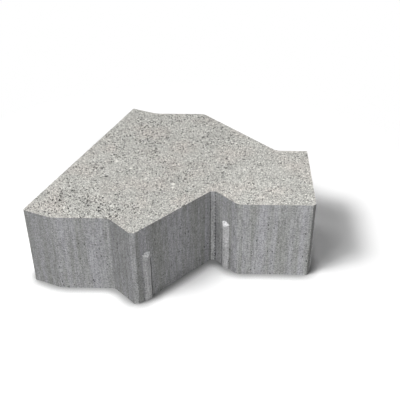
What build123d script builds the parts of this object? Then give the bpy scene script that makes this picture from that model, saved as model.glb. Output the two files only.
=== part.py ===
from build123d import *
import os

# Edging stone of an interlocking concrete paving, in millimetres.
# +Z is up and the stone lies on its bed at Z = 0. The straight edging side stands in the
# plane X = 0, from Y = -STRAIGHT_SIDE / 2 (near) to Y = +STRAIGHT_SIDE / 2 (far), and the
# stone reaches from it in +X into the paving. The origin is the middle of that side.

# Driving dimensions
STRAIGHT_SIDE = 200.0    # length of the edging side, which is also the laying pitch
THICKNESS = 80.0         # from the bed to the wearing face
TURN = 22.5              # every wall runs at one or three of these turns from the X axis

END_LEG = 28.0           # wall square to the straight side, at each of its ends
SHOULDER_LEG = 50.0      # wall that follows the end leg, one turn outwards
SLANT_LEG = 102.0        # far wall that slants back from the shoulder
HEAD_STEP = 30.0         # far wall of the head, after the slant
TOE_LEG = 31.0           # short wall between the near shoulder and the toe
NOTCH_LEG = 94.0         # long wall of the notch, from the toe to the throat
THROAT_LEG = 31.0        # short wall of the notch, from the throat to the jaw

CORNER_CHAMFER = 1.5     # flat on the upright arris of the square corners at both ends
TOE_CHAMFER = 3.2        # flat on the upright arris of the toe
THROAT_CHAMFER = 3.5     # flat in the throat, which clears the toe of the next stone
BEND_RADIUS = 20.0       # rounding where two walls meet at one turn
ELBOW_RADIUS = 8.0       # rounding where two walls meet at two turns

RIB_RADIUS = 5.0         # roundness of an upright spacer rib
RIB_STAND = 2.5          # how far a rib stands out of its wall
RIB_HEIGHT = 52.5        # where a rib's sloping top meets its wall
RIB_SLOPE = 45.0         # slope of a rib's top, downwards and away from the wall
RIB_FROM_CORNER = 14.0   # from a wall's corner to the middle of its rib


# Outline of the walls, as sharp corners, anticlockwise from the near end
def leg(length, turns):
    """One wall's run: its length, at a number of turns from the X axis."""
    return Vector(length, 0).rotate(Axis.Z, turns * TURN)


near_end = Vector(0, -STRAIGHT_SIDE / 2)
near_bend = near_end + leg(END_LEG, 0)
near_shoulder = near_bend + leg(SHOULDER_LEG, 1)
toe = near_shoulder + leg(TOE_LEG, -1)
throat = toe + leg(NOTCH_LEG, 3)
jaw = throat + leg(THROAT_LEG, -1)

far_end = Vector(0, STRAIGHT_SIDE / 2)
far_bend = far_end + leg(END_LEG, 0)
far_shoulder = far_bend + leg(SHOULDER_LEG, 1)
neck = far_shoulder + leg(SLANT_LEG, -1)
head_far = neck + leg(HEAD_STEP, 1)

# The wall from the jaw meets the head's end wall at a right angle
end_wall_way = leg(1, -3)
head_near = head_far + end_wall_way * (jaw - head_far).dot(end_wall_way)

outline = [
    near_end, near_bend, near_shoulder, toe, throat, jaw,
    head_near, head_far, neck, far_shoulder, far_bend, far_end,
]
square_corners = [near_end, head_near, head_far, far_end]
bends = [near_bend, far_bend]
elbows = [near_shoulder, jaw, neck, far_shoulder]

# Walls with a spacer rib: where the wall starts and ends, and how far along it the rib is
ribbed_walls = [
    (toe, throat, RIB_FROM_CORNER),
    (throat, jaw, THROAT_LEG - RIB_FROM_CORNER),
    (head_near, head_far, RIB_FROM_CORNER),
    (neck, far_shoulder, RIB_FROM_CORNER),
    (neck, far_shoulder, SLANT_LEG - RIB_FROM_CORNER),
    (far_shoulder, far_bend, SHOULDER_LEG / 2),
]


def corners_at(sketch, places):
    """The sketch's corners at the given places."""
    return [sketch.vertices().sort_by_distance(place)[0] for place in places]


def rib_seat(start, end, distance):
    """The place of a rib on the wall from start to end. It faces right, out of the stone."""
    run = (end - start).normalized()
    return Plane(origin=start + run * distance, x_dir=run.rotate(Axis.Z, -90)).location


# Spacer rib, upright at its own origin, with the face of its wall in the plane X = 0
with BuildPart() as spacer_rib:
    with BuildSketch():
        with Locations((RIB_STAND - RIB_RADIUS, 0)):
            Circle(RIB_RADIUS)
    extrude(amount=RIB_HEIGHT + RIB_RADIUS)
    top_normal = Vector(0, 0, 1).rotate(Axis.Y, RIB_SLOPE)
    split(bisect_by=Plane(origin=(0, 0, RIB_HEIGHT), z_dir=top_normal), keep=Keep.BOTTOM)

# The stone, with its ribs cast on
with BuildPart() as edging_stone:
    with BuildSketch() as section:
        with BuildLine():
            Polyline(*outline, close=True)
        make_face()
        chamfer(corners_at(section, square_corners), CORNER_CHAMFER)
        chamfer(corners_at(section, [toe]), TOE_CHAMFER)
        chamfer(corners_at(section, [throat]), THROAT_CHAMFER)
        fillet(corners_at(section, bends), BEND_RADIUS)
        fillet(corners_at(section, elbows), ELBOW_RADIUS)
    extrude(amount=THICKNESS)
    with Locations(*[rib_seat(*wall) for wall in ribbed_walls]):
        add(spacer_rib.part)

edging_stone.part.label = "edging_stone"

os.makedirs("parts", exist_ok=True)
export_step(edging_stone.part, "parts/edging_stone.step")
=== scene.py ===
import bmesh
import bpy
import math
from mathutils import Matrix, Vector, noise


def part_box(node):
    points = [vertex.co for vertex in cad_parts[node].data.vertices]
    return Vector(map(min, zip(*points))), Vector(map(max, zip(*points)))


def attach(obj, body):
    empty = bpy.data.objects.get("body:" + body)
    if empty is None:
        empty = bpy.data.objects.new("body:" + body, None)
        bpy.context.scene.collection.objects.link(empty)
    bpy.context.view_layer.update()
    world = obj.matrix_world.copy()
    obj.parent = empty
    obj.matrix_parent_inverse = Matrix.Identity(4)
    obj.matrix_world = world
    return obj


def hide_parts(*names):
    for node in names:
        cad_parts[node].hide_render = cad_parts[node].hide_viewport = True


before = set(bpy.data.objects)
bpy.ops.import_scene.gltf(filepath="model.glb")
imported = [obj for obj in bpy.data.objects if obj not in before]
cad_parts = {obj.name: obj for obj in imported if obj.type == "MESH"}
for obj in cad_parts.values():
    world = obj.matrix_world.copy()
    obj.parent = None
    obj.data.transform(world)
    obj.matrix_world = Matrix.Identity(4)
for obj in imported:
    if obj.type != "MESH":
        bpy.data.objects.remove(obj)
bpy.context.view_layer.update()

# An edging stone of pressed concrete, lying on a white floor. All sizes are in metres.
MM = 0.001

# The walls, as on the drawing: their lengths, and the turn that their ways are multiples of
STRAIGHT_SIDE = 200 * MM
TURN = math.radians(22.5)
END_LEG = 28 * MM
SHOULDER_LEG = 50 * MM
SLANT_LEG = 102 * MM
HEAD_STEP = 30 * MM
TOE_LEG = 31 * MM
NOTCH_LEG = 94 * MM
THROAT_LEG = 31 * MM
BED, WEARING = (corner[2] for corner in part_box("edging_stone"))
THICKNESS = WEARING - BED

# Flats on the upright arrises, and roundings where walls meet at one turn and at two. The
# flats at the ends and on the head are each as wide as in the photograph, where the drawing
# has one width for them all.
END_CHAMFER = 1.0 * MM
HEAD_CHAMFER = 2.6 * MM
TOE_CHAMFER = 3.2 * MM
THROAT_CHAMFER = 3.5 * MM
BEND_RADIUS = 20 * MM
ELBOW_RADIUS = 8 * MM
ROUNDING_STEPS = 6

# A spacer rib: an upright round bar with a sloping top, sunk in its wall until only
# RIB_STAND of it stands out
RIB_RADIUS = 5 * MM
RIB_SIDES = 40
RIB_STAND = 2.5 * MM
RIB_HALF_WIDTH = math.sqrt(RIB_RADIUS ** 2 - (RIB_RADIUS - RIB_STAND) ** 2)
RIB_HEIGHT = 52.5 * MM
RIB_SLOPE = math.radians(45)
RIB_FROM_CORNER = 14 * MM

# Its top is a low arch of five cuts, from one side of the rib to the other. The outer cuts
# lie RIB_TOP_DROP below its height and turn away to their sides. The middle one is
# RIB_TOP_RISE above them, and steeper.
RIB_TOP_CUTS = (-1, -0.5, 0, 0.5, 1)
RIB_TOP_DROP = 0.7 * MM
RIB_TOP_RISE = 1.7 * MM
RIB_TOP_STEEPER = math.radians(14)
RIB_TOP_TURN = math.radians(50)

# The V seam beside a rib: how far it cuts into the wall, and how high it goes
SEAM_REACH = 0.9 * MM
SEAM_HEIGHT = 44 * MM

# Each rib: the corner its wall starts from, how far along it is, and which side its seam is
# on, 1 towards the wall's end and -1 towards its start
RIBS = (
    ("toe", RIB_FROM_CORNER, 1),
    ("throat", THROAT_LEG - RIB_FROM_CORNER, -1),
    ("head_near", RIB_FROM_CORNER, 1),
    ("neck", RIB_FROM_CORNER, 1),
    ("neck", SLANT_LEG - RIB_FROM_CORNER, -1),
    ("far_shoulder", SHOULDER_LEG / 2, 1),
)

# How finely the faces are divided: a slicing step, then the longest edge that may stay on
# each face, and how often edges may be halved for that
SLICE_STEP = 6.7 * MM
WEARING_EDGE = 1.2 * MM
WALL_EDGE = 2.4 * MM
BED_EDGE = 4.8 * MM
HALVINGS = 4

# Places nearer to each other than FLUSH count as one. Faces that meet at less than
# SMOOTH_TURN are shaded as one.
FLUSH = 0.01 * MM
SMOOTH_TURN = math.radians(28)

# Relief: the size of its lumps or hollows, its depth, and the values of its texture at which
# it is deepest and flat. Grain and streaks are coarser than real ones, because the mesh can
# carry none finer. The materials draw the finer ones.
SWAY_SIZE, SWAY_DEPTH, SWAY_VALUES = 30 * MM, 0.08 * MM, (0.25, 0.6)
GRAIN_SIZE, GRAIN_DEPTH, GRAIN_VALUES = 1.6 * MM, 0.16 * MM, (0.25, 0.7)
PIT_SIZE, PIT_DEPTH, PIT_VALUES = 3.0 * MM, 1.2 * MM, (0.1, 0.45)
STREAK_SIZE, STREAK_DEPTH, STREAK_VALUES = 2.2 * MM, 0.12 * MM, (0.3, 0.65)
VOID_SIZE, VOID_DEPTH, VOID_VALUES = 7 * MM, 0.6 * MM, (0.03, 0.16)
CHIP_SIZE, CHIP_DEPTH, CHIP_VALUES = 3.0 * MM, 0.1 * MM, (0.2, 0.6)

# Streaks are this many times longer than wide. Sway grows from nothing at the bed to its full
# depth at SWAY_FULL above it.
STREAK_STRETCH = 12
SWAY_FULL = 2 * SLICE_STEP

# How much of the wearing face's relief reaches its rim, and the points next to the rim
RIM_SHARE, NEXT_TO_RIM_SHARE = 0.1, 0.5

# Where the wearing face came out open-grained. Each patch: its X, Y and reach in millimetres,
# and how open it is.
OPEN_PATCHES = (
    (40, 60, 16, 0.9), (48, 34, 13, 0.8), (15, 41, 15, 1.4), (38, 4, 12, 0.4),
    (54, -73, 20, 1.0), (24, -68, 18, 0.7), (82, -64, 14, 0.5), (109, 75, 10, 0.9),
    (114, -8, 12, 0.1), (138, 28, 12, 0.3), (165, 8, 10, 0.2), (60, 112, 10, 0.4),
    (85, 15, 42, 0.2), (85, 90, 28, 0.3), (32, 80, 15, 0.9), (55, 90, 10, 0.7),
    (33, -14, 10, 1.4),
)
OPEN_EVERYWHERE = 0.25

# The noise that breaks the patches up: the size of its lumps, and its strength
PATCH_SIZE, PATCH_UNEVEN = 11 * MM, 1.6

# Quartz grains that show as white dots on the wearing face. Each one: its X, Y and radius in
# millimetres.
QUARTZ_GRAINS = (
    (102, -12, 1.5), (104, -17, 1.2), (36, 1, 1.2), (152, 37, 1.1), (67, -64, 1.1),
    (224, 16, 1.0), (54, -4, 1.0), (187, 21, 0.9), (75, -14, 0.9), (87, 98, 0.9),
)

# A dot's white at its middle, and how much it falls with each radius. It shows from 1 to 0,
# so the dot is plain white inside and has a soft edge.
QUARTZ_MIDDLE, QUARTZ_FALL = 2, 1.2

# Colours, as seen under plain light
WEARING_GREY = "#BFBEB9"
WEARING_BLUSH = "#C3BDB7"
QUARTZ_WHITE = "#F2F0EA"
WALL_GREY = "#8E8F8D"
WALL_LIGHT = "#949497"
RIB_GREY = "#C3C3C4"
FLOOR_BOUNCE = "#EAEAEA"

# Textures' values, in the pairs that a pattern is spread between: most of a noise, most of a
# noise without detail, and a cell's own value, without and with its ends cut off
NOISE_VALUES = (0.35, 0.65)
PLAIN_NOISE_VALUES = (0.3, 0.7)
CELL_VALUES = (0, 1)
CUT_CELL_VALUES = (0.15, 0.85)

# The wearing face's patterns: their real sizes, and the factors by which they darken and
# lighten the colour, or the share of the blush. Sand is drawn at the coarse end of what such
# a face has, because finer sand wouldn't show.
SAND_SIZE, SAND_SHADES = 0.65 * MM, (0.48, 1.52)
FINE_SAND_SIZE, FINE_SAND_SHADES = 0.45 * MM, (0.8, 1.2)
BLOOM_SIZE, BLOOM_SHADES = 38 * MM, (0.97, 1.03)
BLUSH_SIZE, BLUSH_VALUES, BLUSH_SHARES = 24 * MM, (0.45, 0.75), (0, 0.6)
# Painted shade in the pits, darkest at the first depth below the wearing face and gone at the
# second
PIT_SHADE_DEPTHS, PIT_PAINTED_SHADES = (1.5 * MM, 0.7 * MM), (0.6, 1)

# Painted light: the wearing face is painted paler towards the head, from one X to another
HEAD_REACH, HEAD_PAINTED_LIGHT = (110 * MM, 170 * MM), (1, 1.13)

# Pores and small quartz specks: the size of the cells that may hold one, how rare they are,
# and the values between which one's edge lies. The first value of PORE_CLOSING is added on
# closed ground, where it makes pores fewer, and the second on open-grained ground.
PORE_SIZE, PORE_RARITY, PORE_EDGE, PORE_SHADES = 1.35 * MM, 3, (0.48, 0.6), (0.08, 1)
PORE_CLOSING = (0.07, -0.38)
SPECK_SIZE, SPECK_RARITY, SPECK_EDGE, SPECK_SHARES = 2.6 * MM, 5, (0.25, 0.4), (0.9, 0)

# The walls' patterns: their real sizes across, how many times longer they are upwards, and
# their factors on the colour, or the share of the paler grey. The sand in the skin is drawn
# coarser than real, to show. Bubbles are the small voids that air left in the skin.
WIPE_SIZE, WIPE_STRETCH, WIPE_SHADES = 1.0 * MM, 14, (0.86, 1.14)
BAND_SIZE, BAND_STRETCH, BAND_SHADES = 7 * MM, 20, (0.93, 1.07)
BAND_SHARES = (0, 1)
SKIN_SAND_SIZE, SKIN_SAND_SHADES = 0.8 * MM, (0.66, 1.34)
BUBBLE_SIZE, BUBBLE_STRETCH, BUBBLE_RARITY = 1.8 * MM, 2.5, 0.7
BUBBLE_EDGE, BUBBLE_SHADES = (0.25, 0.35), (0.22, 1)

# From the first of these depths below the wearing face to the second, the bubbles close up
SKIN_DEPTHS, SKIN_CLOSING = (22 * MM, 6 * MM), (0, 0.16)

# Inputs and output of a Mix node for colours, by number, because others have the same names
MIX_SHARE, MIX_FIRST, MIX_SECOND, MIX_RESULT = 0, 6, 7, 2

# Painted light and shade: how much lighter or darker each wall is painted for the light that
# falls on it, named by the corner it starts from
WALL_PAINTED_LIGHT_AND_SHADE = {
    "near_end": 0.84, "near_bend": 1.08, "near_shoulder": 0.71, "toe": 0.88,
    "throat": 0.93, "jaw": 1.23, "head_near": 1.0, "head_far": 0.96, "neck": 1.04,
    "far_shoulder": 0.97, "far_bend": 1.0, "far_end": 1.02,
}

# The same painted light and shade for the flats on the upright arrises by their corners,
# and for the ribs and their sloping tops by their walls, with the tops painted lighter; and
# painted shade for every seam
FLAT_PAINTED_LIGHT_AND_SHADE = {
    "near_end": 0.45, "toe": 1.0, "throat": 1.25, "head_near": 0.65, "head_far": 0.8,
    "far_end": 0.9,
}
RIB_PAINTED_LIGHT_AND_SHADE = {"toe": 0.62, "throat": 0.86, "head_near": 0.8, "neck": 0.85, "far_shoulder": 0.8}
RIB_TOP_PAINTED_LIGHT = {"toe": 1.15, "throat": 1.2, "head_near": 1.2, "neck": 1.2, "far_shoulder": 1.2}
SEAM_PAINTED_SHADE = 0.4

# How far a wall's painted light and shade reaches, and how strictly it keeps to faces turned as
# the wall is
PAINTED_LIGHT_REACH = 12 * MM
PAINTED_LIGHT_SHARPNESS = 60

# A face turned less than this from a way faces that way
FLAT_TURN = math.radians(30)

# Painted light: the short wall of the throat is painted paler towards the bed, against the
# shade deep in the throat, as far as its rib
THROAT_PAINTED_LIGHT, THROAT_REACH, THROAT_FADE = 0.9, 21 * MM, 8 * MM

# The camera, where the photograph was taken from
CAMERA_PLACE = (0.34454, -0.48578, 0.44305)
CAMERA_BEARING = math.radians(24.5067)
CAMERA_DIP = math.radians(35.6335)
CAMERA_ROLL = math.radians(-0.4219)
CAMERA_LENS = 63.86

# The studio lamps, all at one distance from the place that they are aimed at. Each one: its
# bearing clockwise from the camera's side and its height, both in degrees, its width in
# metres and its power in watts.
LIT_PLACE = Vector((0.11, 0, 0.03))
LAMP_DISTANCE = 3
LAMPS = {
    "front_right_lamp": (-40, 30, 1.1, 26),
    "front_left_lamp": (45, 50, 1.1, 20),
    "key_lamp": (60, 52, 0.8, 32),
    "left_lamp": (75, 51, 1.0, 35),
    "back_left_lamp": (140, 60, 1.1, 10),
}

# The floor. The camera sees it as FLOOR_WHITE, and the stone gets light back from
# FLOOR_BOUNCE. Closer to the stone than PAINTED_CONTACT_REACH a painted contact shade darkens it,
# faster with a greater PAINTED_CONTACT_DEPTH and never past PAINTED_CONTACT_LEAST. It turns to a
# plain white backdrop from one distance from the stone's middle to another.
FLOOR_SIZE = 12
FLOOR_WHITE = 1.2
PAINTED_CONTACT_REACH = 12 * MM
PAINTED_CONTACT_DEPTH = 1.85
PAINTED_CONTACT_LEAST = 0.54
BACKDROP_REACH = (0.22, 0.36)


# Outline

def leg(length, turns):
    """One wall's run in plan."""
    return Vector((math.cos(turns * TURN), math.sin(turns * TURN), 0)) * length


def wall_corners():
    """The corners of the outline by name, anticlockwise from the near end."""
    near_end = Vector((0, -STRAIGHT_SIDE / 2, BED))
    near_bend = near_end + leg(END_LEG, 0)
    near_shoulder = near_bend + leg(SHOULDER_LEG, 1)
    toe = near_shoulder + leg(TOE_LEG, -1)
    throat = toe + leg(NOTCH_LEG, 3)
    jaw = throat + leg(THROAT_LEG, -1)
    far_end = Vector((0, STRAIGHT_SIDE / 2, BED))
    far_bend = far_end + leg(END_LEG, 0)
    far_shoulder = far_bend + leg(SHOULDER_LEG, 1)
    neck = far_shoulder + leg(SLANT_LEG, -1)
    head_far = neck + leg(HEAD_STEP, 1)
    head_near = head_far + leg((jaw - head_far).dot(leg(1, -3)), -3)
    return {
        "near_end": near_end, "near_bend": near_bend, "near_shoulder": near_shoulder,
        "toe": toe, "throat": throat, "jaw": jaw, "head_near": head_near,
        "head_far": head_far, "neck": neck, "far_shoulder": far_shoulder,
        "far_bend": far_bend, "far_end": far_end,
    }


def walls(corners):
    """Each wall: the name of the corner it starts from, where it starts, ends and faces."""
    names = list(corners)
    starts = list(corners.values())
    found = []
    for name, start, end in zip(names, starts, starts[1:] + starts[:1]):
        run = (end - start).normalized()
        found.append((name, start, end, Vector((run.y, -run.x, 0))))
    return found


def rib_seats(corners):
    """Each rib: its wall's name, its place, the ways along its wall and out of it, its seam."""
    seats = []
    for wall, distance, seam in RIBS:
        for name, start, end, outwards in walls(corners):
            if name == wall:
                run = (end - start).normalized()
                seats.append((name, start + run * distance, run, outwards, seam))
    return seats


def rib_at(place, seats):
    """The name of the wall whose rib is at a place, if one is."""
    for name, seat, run, outwards, seam in seats:
        beside = abs((place - seat).dot(run))
        proud = (place - seat).dot(outwards)
        if beside < RIB_RADIUS and FLUSH < proud < RIB_STAND + FLUSH:
            return name
    return None


def on_wearing(vertex):
    """Whether a vertex is on the wearing face, its rim included."""
    return vertex.co.z > WEARING - FLUSH


# Selecting in edit mode, by place

def pick(kind, wanted):
    """In edit mode, selects only the vertices, edges or faces that a test wants."""
    bpy.ops.mesh.select_mode(type={"verts": "VERT", "edges": "EDGE", "faces": "FACE"}[kind])
    bpy.ops.mesh.select_all(action="DESELECT")
    mesh = bmesh.from_edit_mesh(bpy.context.object.data)
    found = 0
    for item in getattr(mesh, kind):
        if wanted(item):
            item.select_set(True)
            found += 1
    mesh.select_flush_mode()
    bmesh.update_edit_mesh(bpy.context.object.data)
    return found


def start_edit():
    bpy.ops.object.mode_set(mode="EDIT")


def end_edit():
    bpy.ops.object.mode_set(mode="OBJECT")


def drop_doubled_faces():
    """Deletes each face that lies on the same corners as another."""
    seen = set()

    def doubled(face):
        on = frozenset(vertex.index for vertex in face.verts)
        again = on in seen
        seen.add(on)
        return again

    pick("faces", doubled)
    bpy.ops.mesh.delete(type="ONLY_FACE")


# The block and its ribs

def finish_upright(corners, names, width, steps):
    """Bevels the upright edges at the named corners: flat in one step, round in more."""
    def upright(edge):
        low, high = (vertex.co for vertex in edge.verts)
        if (low - high).xy.length > FLUSH:
            return False
        return any((low - corners[name]).xy.length < FLUSH for name in names)

    pick("edges", upright)
    bpy.ops.mesh.bevel(offset=width, segments=steps, affect="EDGES", profile=0.5)


def cast_block(corners):
    """A round blank of as many corners as the outline, pulled to the outline and raised."""
    places = list(corners.values())
    bpy.ops.object.select_all(action="DESELECT")
    bpy.ops.mesh.primitive_circle_add(
        vertices=len(places), radius=STRAIGHT_SIDE / 2, fill_type="NGON",
        location=(0, 0, BED),
    )
    block = bpy.context.object
    block.name = "cast_stone"
    bpy.ops.object.transform_apply(location=True, rotation=False, scale=False)
    start_edit()
    for number, place in enumerate(places):
        pick("verts", lambda vertex: vertex.index == number)
        at_now = bmesh.from_edit_mesh(block.data).verts
        at_now.ensure_lookup_table()
        bpy.ops.transform.translate(value=place - at_now[number].co)
    bpy.ops.mesh.select_all(action="SELECT")
    bpy.ops.mesh.extrude_region_move(TRANSFORM_OT_translate={"value": (0, 0, THICKNESS)})
    bpy.ops.mesh.select_all(action="SELECT")
    bpy.ops.mesh.normals_make_consistent(inside=False)

    finish_upright(corners, ["near_end", "head_far", "far_end"], END_CHAMFER, 1)
    finish_upright(corners, ["head_near"], HEAD_CHAMFER, 1)
    finish_upright(corners, ["toe"], TOE_CHAMFER, 1)
    finish_upright(corners, ["throat"], THROAT_CHAMFER, 1)
    bends = ["near_bend", "far_bend"]
    finish_upright(corners, bends, BEND_RADIUS * math.tan(TURN / 2), ROUNDING_STEPS)
    elbows = ["near_shoulder", "jaw", "neck", "far_shoulder"]
    finish_upright(corners, elbows, ELBOW_RADIUS * math.tan(TURN), ROUNDING_STEPS)
    end_edit()
    return block


def turned_to(outwards):
    """The turn of a piece that faces along X, to face the given way."""
    return Matrix.Rotation(math.atan2(outwards.y, outwards.x), 4, "Z")


def spacer_rib(seat, outwards):
    """An upright round rib at its seat on a wall. Its top slopes outwards from a low arch."""
    blank = RIB_HEIGHT + RIB_RADIUS
    bpy.ops.object.select_all(action="DESELECT")
    bpy.ops.mesh.primitive_cylinder_add(
        vertices=RIB_SIDES, radius=RIB_RADIUS, depth=blank,
        location=(RIB_STAND - RIB_RADIUS, 0, BED + blank / 2),
    )
    rib = bpy.context.object
    rib.name = "spacer_rib"
    bpy.ops.object.transform_apply(location=True, rotation=False, scale=False)
    start_edit()
    for share in RIB_TOP_CUTS:
        turn = share * RIB_TOP_TURN
        slope = RIB_SLOPE + (1 - abs(share)) * RIB_TOP_STEEPER
        level = math.sin(slope)
        height = RIB_HEIGHT - RIB_TOP_DROP + RIB_TOP_RISE * (1 - share ** 2)
        bpy.ops.mesh.select_all(action="SELECT")
        bpy.ops.mesh.bisect(
            plane_co=(0, share * RIB_HALF_WIDTH, BED + height),
            plane_no=(level * math.cos(turn), level * math.sin(turn), math.cos(slope)),
            use_fill=True, clear_outer=True,
        )
    end_edit()
    rib.matrix_world = Matrix.Translation(seat.xy.to_3d()) @ turned_to(outwards)
    bpy.ops.object.transform_apply(location=True, rotation=True, scale=False)
    return rib


def seam_cutter(place, outwards):
    """A square bar on its edge, which cuts the V of a seam from the bed upwards."""
    bpy.ops.object.select_all(action="DESELECT")
    bpy.ops.mesh.primitive_cylinder_add(vertices=4, radius=SEAM_REACH, depth=2 * SEAM_HEIGHT)
    bar = bpy.context.object
    bar.name = "seam_cutter"
    bar.matrix_world = Matrix.Translation((place.x, place.y, BED)) @ turned_to(outwards)
    bpy.ops.object.transform_apply(location=True, rotation=True, scale=False)
    return bar


def combine(block, operation, tool):
    """Joins a tool's shape to the block, or cuts it out, and removes the tool."""
    boolean = block.modifiers.new(tool.name, "BOOLEAN")
    boolean.operation = operation
    boolean.solver = "EXACT"
    boolean.object = tool
    bpy.ops.object.select_all(action="DESELECT")
    block.select_set(True)
    bpy.context.view_layer.objects.active = block
    bpy.ops.object.modifier_apply(modifier=boolean.name)
    bpy.data.objects.remove(tool)


def join_ribs(block, corners):
    """Casts the spacer ribs onto their walls, each with the seam that its groove left."""
    for name, seat, run, outwards, seam in rib_seats(corners):
        combine(block, "UNION", spacer_rib(seat, outwards))
        combine(block, "DIFFERENCE", seam_cutter(seat + run * RIB_HALF_WIDTH * seam, outwards))


def too_long(edge):
    """Whether an edge is longer than may stay on the face that it is on."""
    heights = [vertex.co.z for vertex in edge.verts]
    if min(heights) > WEARING - FLUSH:
        longest = WEARING_EDGE
    elif max(heights) < BED + FLUSH:
        longest = BED_EDGE
    else:
        longest = WALL_EDGE
    return edge.calc_length() > longest


def divide(block):
    """Slices the block into even cells, then halves its edges until each is short enough."""
    start_edit()
    low, high = (Vector(corner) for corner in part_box("edging_stone"))
    for axis in range(3):
        normal = Vector((0, 0, 0))
        normal[axis] = 1
        count = math.ceil((high[axis] - low[axis]) / SLICE_STEP)
        for number in range(1, count):
            place = low.copy()
            place[axis] += (high[axis] - low[axis]) * number / count
            bpy.ops.mesh.select_all(action="SELECT")
            bpy.ops.mesh.bisect(plane_co=place, plane_no=normal)
    bpy.ops.mesh.select_all(action="SELECT")
    bpy.ops.mesh.quads_convert_to_tris(quad_method="BEAUTY", ngon_method="BEAUTY")

    for halving in range(HALVINGS):
        if not pick("edges", too_long):
            break
        bpy.ops.mesh.subdivide(number_cuts=1, quadcorner="INNERVERT")
        bpy.ops.mesh.select_all(action="SELECT")
        bpy.ops.mesh.quads_convert_to_tris(quad_method="SHORTEST_DIAGONAL", ngon_method="BEAUTY")
        bpy.ops.mesh.select_all(action="SELECT")
        bpy.ops.mesh.dissolve_degenerate(threshold=FLUSH)
    bpy.ops.mesh.select_all(action="SELECT")
    bpy.ops.mesh.remove_doubles(threshold=FLUSH)
    drop_doubled_faces()
    bpy.ops.mesh.select_all(action="SELECT")
    bpy.ops.mesh.normals_make_consistent(inside=False)
    end_edit()


# Relief and tones

def openness(place):
    """How open-grained the wearing face is at a place: 0 is closed, and 1 or more is open."""
    patches = OPEN_EVERYWHERE
    for x, y, reach, strength in OPEN_PATCHES:
        away = (place.xy - Vector((x, y)) * MM).length / (reach * MM)
        patches += strength * math.exp(-away * away)
    return patches * (1 + PATCH_UNEVEN * noise.noise(place / PATCH_SIZE))


def quartz(place):
    """How white a place is with a large quartz grain, from 0 to 1."""
    nearest = min(
        (place.xy - Vector((x, y)) * MM).length / (radius * MM) for x, y, radius in QUARTZ_GRAINS
    )
    return max(0, min(1, QUARTZ_MIDDLE - QUARTZ_FALL * nearest))


def painted_throat_light(face, corners):
    """How many times lighter a face in the throat is painted than the rest of its wall: painted
    light towards the bed.
    """
    notch_wall = corners["throat"] - corners["toe"]
    out_of_notch_wall = Vector((notch_wall.y, -notch_wall.x, 0)).normalized()
    if face.normal.dot(out_of_notch_wall) > math.cos(FLAT_TURN):
        return 1
    gap = (face.center - corners["throat"]).xy.length
    nearness = max(0, min(1, (THROAT_REACH - gap) / THROAT_FADE))
    depth = (WEARING - face.center.z) / THICKNESS
    return 1 + THROAT_PAINTED_LIGHT * nearness * depth ** 2


def painted_light_and_shade_of(face, corners, all_walls, seats):
    """How much light and shade is painted on a face: that of the walls it is near and turned
    like. A face turned like no wall is on a corner's flat, or in a seam, which is painted in
    shade."""
    if abs(face.normal.z) > math.cos(FLAT_TURN):
        return 1
    rib = rib_at(face.center, seats)
    if rib:
        # Painted light on a rib's sloping top, painted light and shade on its front
        return RIB_TOP_PAINTED_LIGHT[rib] if face.normal.z > math.sin(FLAT_TURN) else RIB_PAINTED_LIGHT_AND_SHADE[rib]
    total, painted_tone, best_turn = 0, 0, 0
    for name, start, end, outwards in all_walls:
        run = end - start
        along = max(0, min(1, (face.center - start).xy.dot(run.xy) / run.xy.length_squared))
        gap = (start + run * along - face.center).xy.length
        turn = max(0, face.normal.dot(outwards))
        weight = math.exp(-(gap / PAINTED_LIGHT_REACH) ** 2) * turn ** PAINTED_LIGHT_SHARPNESS
        total += weight
        painted_tone += weight * WALL_PAINTED_LIGHT_AND_SHADE[name]
        if gap < PAINTED_LIGHT_REACH:
            best_turn = max(best_turn, turn)
    if best_turn > math.cos(FLAT_TURN):
        return painted_tone / total * painted_throat_light(face, corners)
    # A flat's painted light and shade by its corner, or else painted shade in a seam
    gaps = {name: (place - face.center).xy.length for name, place in corners.items()}
    nearest = min(gaps, key=gaps.get)
    if gaps[nearest] < TOE_CHAMFER:
        return FLAT_PAINTED_LIGHT_AND_SHADE[nearest] * painted_throat_light(face, corners)
    return SEAM_PAINTED_SHADE


def keep_looks(piece, corners):
    """Attributes that the materials read: open grain and quartz at each point, and the
    painted light and shade of each face."""
    for name, value_at in (("open_grain", openness), ("quartz", quartz)):
        attribute = piece.data.attributes.new(name, "FLOAT", "POINT")
        values = [value_at(vertex.co) for vertex in piece.data.vertices]
        attribute.data.foreach_set("value", values)
    all_walls = walls(corners)
    seats = rib_seats(corners)
    painted_tones = [painted_light_and_shade_of(face, corners, all_walls, seats) for face in piece.data.polygons]
    attribute = piece.data.attributes.new("painted_light_and_shade", "FLOAT", "FACE")
    attribute.data.foreach_set("value", painted_tones)


def weigh(piece, name, weight_at):
    """Makes a vertex group whose weights come from a function of each vertex."""
    group = piece.vertex_groups.new(name=name)
    for vertex in piece.data.vertices:
        weight = weight_at(vertex)
        if weight > 0:
            group.add([vertex.index], min(weight, 1), "REPLACE")


def rim_of(piece):
    """The numbers of the vertices on the wearing face's rim, and of those up to one edge
    from it."""
    rim = set()
    for edge in piece.data.edges:
        tops = [index for index in edge.vertices if on_wearing(piece.data.vertices[index])]
        if len(tops) == 1:
            rim.add(tops[0])
    near_rim = set()
    for edge in piece.data.edges:
        if rim & set(edge.vertices):
            near_rim.update(edge.vertices)
    return rim, near_rim


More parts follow.
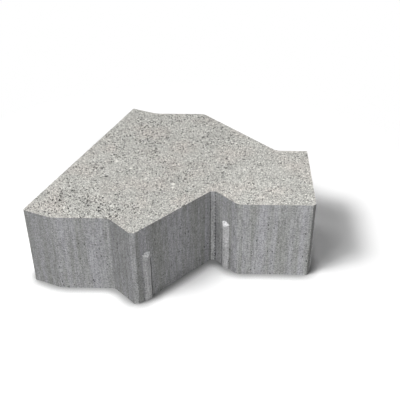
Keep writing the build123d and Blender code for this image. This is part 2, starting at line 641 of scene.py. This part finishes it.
def weigh_faces(piece, corners):
    """Groups for the wearing face, its open patches, the walls, all above the bed and the
    arris."""
    seats = rib_seats(corners)
    rim, near_rim = rim_of(piece)

    def inside_rim(vertex):
        if vertex.index in rim:
            return RIM_SHARE
        if not on_wearing(vertex):
            return 0
        return NEXT_TO_RIM_SHARE if vertex.index in near_rim else 1

    def on_walls(vertex):
        if rib_at(vertex.co, seats):
            return 0
        return 1 if BED + FLUSH < vertex.co.z < WEARING - FLUSH else 0

    weigh(piece, "wearing_face", inside_rim)
    weigh(piece, "open_patches", lambda vertex: inside_rim(vertex) * openness(vertex.co))
    weigh(piece, "walls", on_walls)
    weigh(piece, "above_bed", lambda vertex: (vertex.co.z - BED) / SWAY_FULL)
    weigh(piece, "arris", lambda vertex: 1 if vertex.index in rim else 0)


def shaped(texture, values):
    """Keeps a texture between its deepest value and flat, by a ramp."""
    texture.use_color_ramp = True
    deepest, flat = texture.color_ramp.elements
    deepest.position, flat.position = values
    deepest.color = (0, 0, 0, 1)
    flat.color = (1, 1, 1, 1)
    return texture


def clouds(name, size, values):
    """Uneven ground, in lumps of about one size."""
    texture = bpy.data.textures.new(name, "CLOUDS")
    texture.noise_scale = size
    texture.noise_depth = 1
    texture.noise_basis = "ORIGINAL_PERLIN"
    return shaped(texture, values)


def hollows(name, size, values):
    """Round hollows at a Voronoi pattern's centres."""
    texture = bpy.data.textures.new(name, "VORONOI")
    texture.noise_scale = size
    texture.distance_metric = "DISTANCE"
    return shaped(texture, values)


def press_in(piece, group, depth, texture, stretch=1):
    """Presses a texture into the surface. Only inwards, so the piece stays in its box."""
    relief = piece.modifiers.new(texture.name, "DISPLACE")
    relief.texture = texture
    relief.vertex_group = group
    relief.mid_level = 1
    relief.strength = depth
    guide = None
    if stretch != 1:
        bpy.ops.object.select_all(action="DESELECT")
        bpy.ops.object.empty_add()
        guide = bpy.context.object
        guide.scale = (1, 1, stretch)
        bpy.context.view_layer.update()
        relief.texture_coords = "OBJECT"
        relief.texture_coords_object = guide
    bpy.ops.object.select_all(action="DESELECT")
    piece.select_set(True)
    bpy.context.view_layer.objects.active = piece
    bpy.ops.object.modifier_apply(modifier=relief.name)
    if guide:
        bpy.data.objects.remove(guide)


def weather(piece, corners):
    """The relief of each face, from the broadest to the finest."""
    weigh_faces(piece, corners)
    keep_looks(piece, corners)
    streaks = clouds("streaks", STREAK_SIZE, STREAK_VALUES)
    press_in(piece, "above_bed", SWAY_DEPTH, clouds("sway", SWAY_SIZE, SWAY_VALUES))
    press_in(piece, "wearing_face", GRAIN_DEPTH, clouds("grain", GRAIN_SIZE, GRAIN_VALUES))
    press_in(piece, "open_patches", PIT_DEPTH, hollows("pits", PIT_SIZE, PIT_VALUES))
    press_in(piece, "walls", STREAK_DEPTH, streaks, STREAK_STRETCH)
    press_in(piece, "walls", VOID_DEPTH, hollows("voids", VOID_SIZE, VOID_VALUES))
    press_in(piece, "arris", CHIP_DEPTH, clouds("chips", CHIP_SIZE, CHIP_VALUES))
    piece.vertex_groups.clear()


# Materials

def linear(colour):
    """A #RRGGBB colour as linear RGBA."""
    parts = []
    for place in (1, 3, 5):
        part = int(colour[place:place + 2], 16) / 255
        parts.append(part / 12.92 if part <= 0.04045 else ((part + 0.055) / 1.055) ** 2.4)
    return (*parts, 1)


def new_material(name):
    """An empty material, and its node tree."""
    material = bpy.data.materials.new(name)
    material.use_nodes = True
    material.node_tree.nodes.clear()
    return material, material.node_tree


def add(tree, kind, settings, inputs):
    """Adds a node, with its settings, and its inputs set or linked. Inputs that share one
    name are given by number."""
    node = tree.nodes.new("ShaderNode" + kind)
    for name, value in settings.items():
        setattr(node, name, value)
    for key, value in inputs.items():
        if isinstance(value, bpy.types.NodeSocket):
            tree.links.new(value, node.inputs[key])
        else:
            node.inputs[key].default_value = value
    return node


def spread(value, between, onto):
    """The inputs of a Map Range node that takes one pair of values to another."""
    return {
        "Value": value, "From Min": between[0], "From Max": between[1],
        "To Min": onto[0], "To Max": onto[1],
    }


def below_wearing(depths):
    """The heights at two depths below the wearing face."""
    return [WEARING - depth for depth in depths]


def open_grained_concrete():
    """Pressed concrete's wearing face, with its skin of cement worn thin: sand grains of
    many greys side by side, dark pores between them, and here and there a white quartz grain."""
    material, tree = new_material("open_grained_pressed_concrete")
    place = add(tree, "TexCoord", {}, {}).outputs["Object"]
    axes = add(tree, "SeparateXYZ", {}, {"Vector": place}).outputs

    # Sand of many greys, and the larger clouds in which the face dried
    cells = add(tree, "TexVoronoi", {"feature": "F1"}, {"Vector": place, "Scale": 1 / SAND_SIZE})
    own = add(tree, "SeparateColor", {}, {"Color": cells.outputs["Color"]}).outputs["Red"]
    grain = add(tree, "MapRange", {}, spread(own, CUT_CELL_VALUES, SAND_SHADES)).outputs[0]
    fine = add(tree, "TexNoise", {}, {
        "Vector": place, "Scale": 1 / FINE_SAND_SIZE, "Detail": 0,
    }).outputs[0]
    sand = add(tree, "MapRange", {}, spread(
        fine, PLAIN_NOISE_VALUES, FINE_SAND_SHADES,
    )).outputs[0]
    cloud = add(tree, "TexNoise", {}, {
        "Vector": place, "Scale": 1 / BLOOM_SIZE, "Detail": 2,
    }).outputs[0]
    bloom = add(tree, "MapRange", {}, spread(cloud, NOISE_VALUES, BLOOM_SHADES)).outputs[0]
    # Painted light, paler towards the head
    head = add(tree, "MapRange", {}, spread(axes["X"], HEAD_REACH, HEAD_PAINTED_LIGHT)).outputs[0]

    # Pores, more and larger where the grain is open, and painted shade in the bottom of the pits
    open_grain = add(tree, "Attribute", {"attribute_name": "open_grain"}, {}).outputs["Fac"]
    closed = add(tree, "MapRange", {}, spread(open_grain, (0, 1), PORE_CLOSING)).outputs[0]
    cells = add(tree, "TexVoronoi", {"feature": "F1"}, {"Vector": place, "Scale": 1 / PORE_SIZE})
    chance = add(tree, "SeparateColor", {}, {"Color": cells.outputs["Color"]}).outputs["Green"]
    near = add(tree, "Math", {"operation": "MULTIPLY_ADD"}, {
        0: chance, 1: PORE_RARITY, 2: cells.outputs["Distance"],
    }).outputs[0]
    near = add(tree, "Math", {"operation": "ADD"}, {0: near, 1: closed}).outputs[0]
    pores = add(tree, "MapRange", {}, spread(near, PORE_EDGE, PORE_SHADES)).outputs[0]
    # Painted shade, darker the deeper the face lies in a pit
    painted_pit_shade = add(tree, "MapRange", {}, spread(
        axes["Z"], below_wearing(PIT_SHADE_DEPTHS), PIT_PAINTED_SHADES,
    )).outputs[0]

    # All of that on a grey that turns a little warmer in places
    grey = grain
    for part in (sand, bloom, head, pores, painted_pit_shade):
        grey = add(tree, "Math", {"operation": "MULTIPLY"}, {0: grey, 1: part}).outputs[0]
    cloud = add(tree, "TexNoise", {}, {
        "Vector": place, "Scale": 1 / BLUSH_SIZE, "Detail": 1,
    }).outputs[0]
    blush = add(tree, "MapRange", {}, spread(cloud, BLUSH_VALUES, BLUSH_SHARES)).outputs[0]
    tint = add(tree, "Mix", {"data_type": "RGBA"}, {
        MIX_SHARE: blush, MIX_FIRST: linear(WEARING_GREY), MIX_SECOND: linear(WEARING_BLUSH),
    }).outputs[MIX_RESULT]
    colour = add(tree, "VectorMath", {"operation": "SCALE"}, {0: tint, "Scale": grey}).outputs[0]

    # White quartz, in small specks by chance and in larger grains at their own places
    cells = add(tree, "TexVoronoi", {"feature": "F1"}, {"Vector": place, "Scale": 1 / SPECK_SIZE})
    chance = add(tree, "SeparateColor", {}, {"Color": cells.outputs["Color"]}).outputs["Blue"]
    near = add(tree, "Math", {"operation": "MULTIPLY_ADD"}, {
        0: chance, 1: SPECK_RARITY, 2: cells.outputs["Distance"],
    }).outputs[0]
    specks = add(tree, "MapRange", {}, spread(near, SPECK_EDGE, SPECK_SHARES)).outputs[0]
    large = add(tree, "Attribute", {"attribute_name": "quartz"}, {}).outputs["Fac"]
    white = add(tree, "Math", {"operation": "MAXIMUM"}, {0: specks, 1: large}).outputs[0]
    colour = add(tree, "Mix", {"data_type": "RGBA"}, {
        MIX_SHARE: white, MIX_FIRST: colour, MIX_SECOND: linear(QUARTZ_WHITE),
    }).outputs[MIX_RESULT]

    rise = add(tree, "Math", {"operation": "MULTIPLY"}, {0: grain, 1: pores}).outputs[0]
    bump = add(tree, "Bump", {}, {"Strength": 0.5, "Distance": 0.3 * MM, "Height": rise})
    shader = add(tree, "BsdfPrincipled", {}, {
        "Base Color": colour, "Roughness": 0.9, "IOR": 1.5, "Normal": bump.outputs[0],
    })
    add(tree, "OutputMaterial", {}, {"Surface": shader.outputs[0]})
    return material


def mould_dragged_concrete(name, grey, light):
    """Pressed concrete's side, wiped upright as the mould was drawn off it: a smooth cement
    skin with fine upright streaks and small dark voids, fewer of them near the top."""
    material, tree = new_material(name)
    place = add(tree, "TexCoord", {}, {}).outputs["Object"]
    height = add(tree, "SeparateXYZ", {}, {"Vector": place}).outputs["Z"]

    # Fine upright streaks, broader bands, and the sand that shows through the skin
    wiped = add(tree, "Mapping", {}, {
        "Vector": place, "Scale": (1, 1, 1 / WIPE_STRETCH),
    }).outputs[0]
    line = add(tree, "TexNoise", {}, {
        "Vector": wiped, "Scale": 1 / WIPE_SIZE, "Detail": 1,
    }).outputs[0]
    streak = add(tree, "MapRange", {}, spread(line, NOISE_VALUES, WIPE_SHADES)).outputs[0]
    drawn = add(tree, "Mapping", {}, {
        "Vector": place, "Scale": (1, 1, 1 / BAND_STRETCH),
    }).outputs[0]
    band = add(tree, "TexNoise", {}, {
        "Vector": drawn, "Scale": 1 / BAND_SIZE, "Detail": 2,
    }).outputs[0]
    band_grey = add(tree, "MapRange", {}, spread(band, NOISE_VALUES, BAND_SHADES)).outputs[0]
    cells = add(tree, "TexVoronoi", {"feature": "F1"}, {
        "Vector": place, "Scale": 1 / SKIN_SAND_SIZE,
    })
    own = add(tree, "SeparateColor", {}, {"Color": cells.outputs["Color"]}).outputs["Red"]
    sand = add(tree, "MapRange", {}, spread(own, CELL_VALUES, SKIN_SAND_SHADES)).outputs[0]

    # Bubbles, drawn a little upwards
    skin = add(tree, "MapRange", {}, spread(
        height, below_wearing(SKIN_DEPTHS), SKIN_CLOSING,
    )).outputs[0]
    pulled = add(tree, "Mapping", {}, {
        "Vector": place, "Scale": (1, 1, 1 / BUBBLE_STRETCH),
    }).outputs[0]
    cells = add(tree, "TexVoronoi", {"feature": "F1"}, {
        "Vector": pulled, "Scale": 1 / BUBBLE_SIZE,
    })
    chance = add(tree, "SeparateColor", {}, {"Color": cells.outputs["Color"]}).outputs["Green"]
    near = add(tree, "Math", {"operation": "MULTIPLY_ADD"}, {
        0: chance, 1: BUBBLE_RARITY, 2: cells.outputs["Distance"],
    }).outputs[0]
    near = add(tree, "Math", {"operation": "ADD"}, {0: near, 1: skin}).outputs[0]
    voids = add(tree, "MapRange", {}, spread(near, BUBBLE_EDGE, BUBBLE_SHADES)).outputs[0]

    # All of that, and the painted light and shade of each face, on a grey that turns a little
    # cooler in the bands
    painted_tone = add(tree, "Attribute", {"attribute_name": "painted_light_and_shade"}, {}).outputs["Fac"]
    dark = streak
    for part in (band_grey, sand, voids, painted_tone):
        dark = add(tree, "Math", {"operation": "MULTIPLY"}, {0: dark, 1: part}).outputs[0]
    band_tint = add(tree, "MapRange", {}, spread(band, NOISE_VALUES, BAND_SHARES)).outputs[0]
    tint = add(tree, "Mix", {"data_type": "RGBA"}, {
        MIX_SHARE: band_tint, MIX_FIRST: linear(grey), MIX_SECOND: linear(light),
    }).outputs[MIX_RESULT]
    colour = add(tree, "VectorMath", {"operation": "SCALE"}, {0: tint, "Scale": dark}).outputs[0]

    rise = add(tree, "Math", {"operation": "MULTIPLY"}, {0: streak, 1: voids}).outputs[0]
    bump = add(tree, "Bump", {}, {"Strength": 0.4, "Distance": 0.3 * MM, "Height": rise})
    shader = add(tree, "BsdfPrincipled", {}, {
        "Base Color": colour, "Roughness": 0.82, "IOR": 1.5, "Normal": bump.outputs[0],
    })
    add(tree, "OutputMaterial", {}, {"Surface": shader.outputs[0]})
    return material


def dress(piece, corners):
    """The wearing face in open-grained concrete, the walls and bed as dragged, and the ribs
    in the paler, finer skin of the mould's grooves."""
    wearing = open_grained_concrete()
    wall = mould_dragged_concrete("mould_dragged_pressed_concrete", WALL_GREY, WALL_LIGHT)
    rib = mould_dragged_concrete("groove_cast_pressed_concrete", RIB_GREY, RIB_GREY)
    piece.data.materials.clear()
    for material in (wall, wearing, rib):
        piece.data.materials.append(material)

    seats = rib_seats(corners)

    def on_rib(face):
        return rib_at(face.calc_center_median(), seats)

    def in_wearing(face):
        return all(on_wearing(vertex) for vertex in face.verts)

    start_edit()
    for number, wanted in ((1, in_wearing), (2, on_rib)):
        pick("faces", wanted)
        piece.active_material_index = number
        bpy.ops.object.material_slot_assign()
    end_edit()


# Studio

def studio_white_paint():
    """Matt white floor paint that keeps the stone's shadow. The camera sees it brighter than
    it is, with a painted contact shade close to the stone, and as plain white light further off."""
    material, tree = new_material("studio_white_paint")
    camera_sees = add(tree, "LightPath", {}, {}).outputs["Is Camera Ray"]
    # Painted contact shade, darker where the stone is close by
    painted_contact_shade = add(tree, "AmbientOcclusion", {}, {"Distance": PAINTED_CONTACT_REACH}).outputs["AO"]
    painted_contact_shade = add(tree, "Math", {"operation": "MAXIMUM"}, {0: painted_contact_shade, 1: PAINTED_CONTACT_LEAST}).outputs[0]
    painted_contact_shade = add(tree, "Math", {"operation": "POWER"}, {0: painted_contact_shade, 1: PAINTED_CONTACT_DEPTH}).outputs[0]
    white = (FLOOR_WHITE, FLOOR_WHITE, FLOOR_WHITE)
    seen = add(tree, "VectorMath", {"operation": "SCALE"}, {0: white, "Scale": painted_contact_shade}).outputs[0]
    colour = add(tree, "Mix", {"data_type": "RGBA"}, {
        MIX_SHARE: camera_sees, MIX_FIRST: linear(FLOOR_BOUNCE), MIX_SECOND: seen,
    }).outputs[MIX_RESULT]
    paint = add(tree, "BsdfDiffuse", {}, {"Color": colour}).outputs[0]
    place = add(tree, "TexCoord", {}, {}).outputs["Object"]
    away = add(tree, "VectorMath", {"operation": "DISTANCE"}, {
        0: place, 1: LIT_PLACE,
    }).outputs["Value"]
    far = add(tree, "MapRange", {}, spread(away, BACKDROP_REACH, (0, 1))).outputs[0]
    far = add(tree, "Math", {"operation": "MULTIPLY"}, {0: far, 1: camera_sees}).outputs[0]
    glow = add(tree, "Emission", {}, {"Strength": 1}).outputs[0]
    surface = add(tree, "MixShader", {}, {0: far, 1: paint, 2: glow}).outputs[0]
    add(tree, "OutputMaterial", {}, {"Surface": surface})
    return material


def studio_floor():
    """A plain flat floor at the height of the stone's bed."""
    bpy.ops.object.select_all(action="DESELECT")
    bpy.ops.mesh.primitive_plane_add(size=FLOOR_SIZE, location=(0, 0, BED))
    floor = bpy.context.object
    floor.name = "studio_floor"
    floor.data.materials.append(studio_white_paint())


def white_world():
    """A white world that only the camera sees."""
    world = bpy.data.worlds.new("studio_world")
    bpy.context.scene.world = world
    world.use_nodes = True
    tree = world.node_tree
    tree.nodes.clear()
    camera_sees = add(tree, "LightPath", {}, {}).outputs["Is Camera Ray"]
    backdrop = add(tree, "Background", {}, {"Color": (1, 1, 1, 1), "Strength": camera_sees})
    add(tree, "OutputWorld", {}, {"Surface": backdrop.outputs[0]})


def studio_lamps():
    """Large round soft lamps, aimed at the stone."""
    to_right = Vector((math.cos(CAMERA_BEARING), math.sin(CAMERA_BEARING), 0))
    away = Vector((-math.sin(CAMERA_BEARING), math.cos(CAMERA_BEARING), 0))
    for name, (bearing, height, width, watts) in LAMPS.items():
        bearing = math.radians(bearing)
        height = math.radians(height)
        level = -math.sin(bearing) * to_right - math.cos(bearing) * away
        to_lamp = level * math.cos(height) + Vector((0, 0, math.sin(height)))
        bpy.ops.object.light_add(type="AREA", location=LIT_PLACE + to_lamp * LAMP_DISTANCE)
        lamp = bpy.context.object
        lamp.name = name
        lamp.rotation_euler = to_lamp.to_track_quat("Z", "Y").to_euler()
        lamp.data.shape = "DISK"
        lamp.data.size = width
        lamp.data.energy = watts


def photo_camera():
    """The camera, at the photograph's viewing angle."""
    bpy.ops.object.camera_add()
    camera = bpy.context.object
    camera.name = "photo_camera"
    camera.matrix_world = (
        Matrix.Translation(CAMERA_PLACE)
        @ Matrix.Rotation(CAMERA_BEARING, 4, "Z")
        @ Matrix.Rotation(math.radians(90) - CAMERA_DIP, 4, "X")
        @ Matrix.Rotation(CAMERA_ROLL, 4, "Z")
    )
    camera.data.lens = CAMERA_LENS
    bpy.context.scene.camera = camera


def cast_stone():
    """The whole edging stone, one casting."""
    corners = wall_corners()
    stone = cast_block(corners)
    join_ribs(stone, corners)
    divide(stone)
    dress(stone, corners)
    weather(stone, corners)
    bpy.ops.object.select_all(action="DESELECT")
    stone.select_set(True)
    bpy.ops.object.shade_smooth_by_angle(angle=SMOOTH_TURN)
    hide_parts("edging_stone")
    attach(stone, "root")


photo_camera()
studio_lamps()
studio_floor()
white_world()
cast_stone()
bpy.context.scene.view_settings.view_transform = "Standard"
